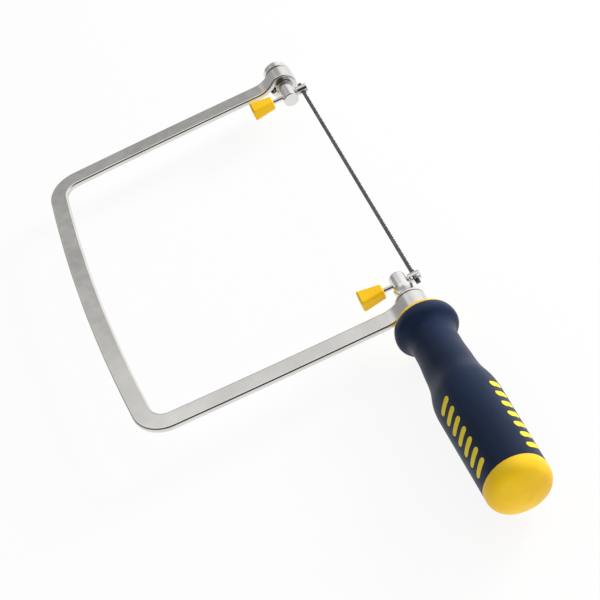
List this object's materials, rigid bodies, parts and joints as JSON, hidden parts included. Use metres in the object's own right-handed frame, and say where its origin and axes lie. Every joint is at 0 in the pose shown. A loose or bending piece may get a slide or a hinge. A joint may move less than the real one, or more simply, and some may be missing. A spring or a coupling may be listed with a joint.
{
  "type": "coping saw",
  "caption": "Coping saw with a U-shaped flat-bar frame, a pinned blade on turning spigots and a screw-tightened soft-grip handle.",
  "frame": {"origin": "on the axis the spigots turn about, midway between the blade's two cross pins", "axes": "+X from the handle to the nose along the turning axis, +Y from the blade to the frame's back, +Z square to the flat of the frame"},
  "size_m": [0.3258, 0.1551, 0.0306],
  "materials": {
    "frame_plate": "bright satin nickel plate",
    "spigot_plate": "bright plated turned steel",
    "blade_steel": "dark blued spring steel",
    "pin_steel": "plain steel",
    "tab_plastic": "semi-gloss yellow moulding",
    "core_plastic": "semi-gloss yellow moulding",
    "inlay_plastic": "matt yellow moulding",
    "grip_rubber": "satin navy soft grip",
    "insert_brass": "turned brass"
  },
  "bodies": {
    "frame": {"frame_bar": "frame_plate", "heel_collar": "spigot_plate"},
    "nose_set": {"nose_spigot": "spigot_plate", "nose_washer": "spigot_plate", "nose_blade_fork": "spigot_plate", "nose_thumb_tab": "tab_plastic"},
    "blade_set": {"blade": "blade_steel", "blade_pins": "pin_steel"},
    "heel_set": {"heel_spigot": "spigot_plate", "heel_blade_fork": "spigot_plate", "heel_thumb_tab": "tab_plastic"},
    "handle": {"handle_core": "core_plastic", "handle_grip": "grip_rubber", "butt_cap": "core_plastic", "thread_insert": "insert_brass", "thrust_washer": "spigot_plate", "grip_inlays": "inlay_plastic"}
  },
  "joints": [
    {"name": "spigots_turn", "type": "hinge", "parent": "frame", "child": "nose_set", "pos_m": [0.0936, 0, 0], "axis": [1, 0, 0], "continuous": true},
    {"name": "blade_unhook", "type": "slide", "parent": "nose_set", "child": "blade_set", "axis": [0, -1, 0], "range_m": [0, 0.012]},
    {"name": "heel_draw", "type": "slide", "parent": "nose_set", "child": "heel_set", "axis": [1, 0, 0], "range_m": [0, 0.0032]},
    {"name": "handle_turn", "type": "hinge", "parent": "frame", "child": "handle", "pos_m": [-0.108, 0, 0], "axis": [-1, 0, 0], "range_deg": [0, 900]}
  ],
  "couplings": [
    {"joint": "heel_draw", "follows": "handle_turn", "m_per_rad": 0.00020213}
  ]
}
